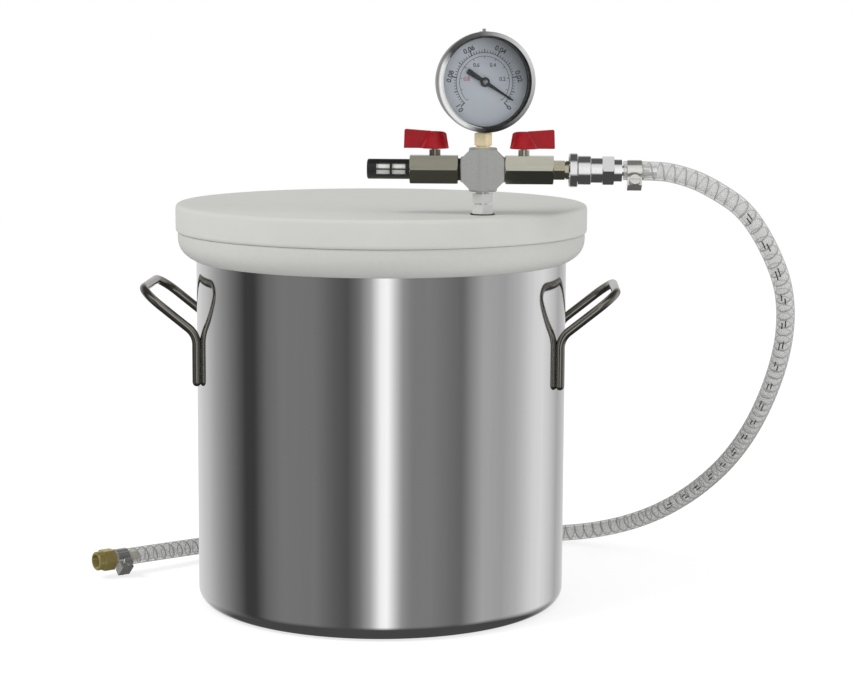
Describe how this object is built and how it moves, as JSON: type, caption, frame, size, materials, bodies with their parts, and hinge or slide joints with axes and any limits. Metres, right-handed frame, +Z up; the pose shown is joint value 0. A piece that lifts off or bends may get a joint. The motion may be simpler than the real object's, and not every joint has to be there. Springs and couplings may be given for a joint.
{
  "type": "vacuum chamber",
  "caption": "Stainless pot vacuum chamber with a clear lid, soft gasket, dial gauge, ball valves, vent filter, quick coupler and wire-reinforced hose.",
  "frame": {"origin": "centre of the pot's underside, on the surface it stands on", "axes": "+Z up along the pot's axis, -Y toward the side the manifold and gauge are on, +X toward the hose's side"},
  "size_m": [0.4881, 0.3243, 0.3888],
  "materials": {
    "polished_stainless": "polished, mirror-like",
    "handle_steel": "polished",
    "silicone_gasket": "satin, translucent white",
    "acrylic_lid": "clear, milky",
    "nipple_chrome": "bright plated",
    "cross_grey": "fine cast, plated, satin",
    "nickel": "satin nickel plate",
    "bearing_steel": "bright",
    "black_rubber": "satin",
    "white_ptfe": "satin",
    "red_enamel": "gloss",
    "black_plastic": "satin",
    "white_felt": "matte",
    "gauge_stainless": "polished",
    "gauge_glass": "clear",
    "dial_white": "matte",
    "black_paint": "matte",
    "brass": "bright",
    "olive_brass": "dull plated",
    "clear_hose": "clear, with a wire helix",
    "clamp_steel": "bright"
  },
  "bodies": {
    "chamber": {"pot": "polished_stainless", "handle_left": "handle_steel", "handle_right": "handle_steel", "lid_gasket": "silicone_gasket", "lid": "acrylic_lid", "nipple": "nipple_chrome", "nipple_seal": "black_rubber", "cross": "cross_grey", "vent_end_seal": "black_rubber", "vent_valve_body": "nickel", "vent_valve_seats": "white_ptfe", "vent_valve_retainer": "nickel", "vent_stem_seal": "black_rubber", "pump_valve_body": "nickel", "pump_valve_seats": "white_ptfe", "pump_valve_retainer": "nickel", "pump_stem_seal": "black_rubber", "filter_cage": "black_plastic", "filter_element": "white_felt", "coupler_plug": "nickel", "coupler_body": "nickel", "coupler_seal": "black_rubber", "coupler_balls": "bearing_steel", "coupler_snap_ring": "bearing_steel", "sleeve_spring": "bearing_steel", "gauge_case": "gauge_stainless", "gauge_bezel": "gauge_stainless", "gauge_window": "gauge_glass", "gauge_window_ring": "black_rubber", "gauge_dial": "dial_white", "gauge_tube": "brass", "gauge_socket": "brass", "movement_back": "brass", "movement_front": "brass", "gauge_fill_plug": "black_rubber", "hose": "clear_hose", "pump_clamp_band": "clamp_steel", "pump_clamp_housing": "clamp_steel", "pump_clamp_screw": "clamp_steel", "end_clamp_band": "clamp_steel", "end_clamp_housing": "clamp_steel", "end_clamp_screw": "clamp_steel", "hose_fitting": "olive_brass"},
    "vent_handle": {"vent_lever": "red_enamel", "vent_lever_screw": "bearing_steel", "vent_valve_stem": "bearing_steel", "vent_valve_ball": "bearing_steel"},
    "pump_handle": {"pump_lever": "red_enamel", "pump_lever_screw": "bearing_steel", "pump_valve_stem": "bearing_steel", "pump_valve_ball": "bearing_steel"},
    "release_sleeve": {"coupler_sleeve": "nickel"},
    "gauge_needle": {"gauge_pointer": "black_paint", "gauge_pinion": "brass"},
    "gauge_rack": {"gauge_sector": "brass"}
  },
  "joints": [
    {"name": "vent_valve_turn", "type": "hinge", "parent": "chamber", "child": "vent_handle", "pos_m": [0.039, -0.094, 0.3005], "axis": [0, 0, 1], "range_deg": [0, 90]},
    {"name": "pump_valve_turn", "type": "hinge", "parent": "chamber", "child": "pump_handle", "pos_m": [0.0952, -0.094, 0.3005], "axis": [0, 0, 1], "range_deg": [-90, 0]},
    {"name": "sleeve_slide", "type": "slide", "parent": "chamber", "child": "release_sleeve", "axis": [1, 0, 0], "range_m": [0, 0.0034], "stiffness_N_per_m": 600, "springref_m": -0.002, "deforming": ["sleeve_spring"]},
    {"name": "needle_turn", "type": "hinge", "parent": "chamber", "child": "gauge_needle", "pos_m": [0.0695, -0.094, 0.3555], "axis": [0.2756, -0.9613, 0], "range_deg": [-13, 257]},
    {"name": "sector_turn", "type": "hinge", "parent": "chamber", "child": "gauge_rack", "pos_m": [0.0695, -0.094, 0.3402], "axis": [0.2756, -0.9613, 0], "range_deg": [-34.2, 1.7]}
  ],
  "couplings": [
    {"joint": "needle_turn", "follows": "sector_turn", "ratio": -7.5}
  ]
}
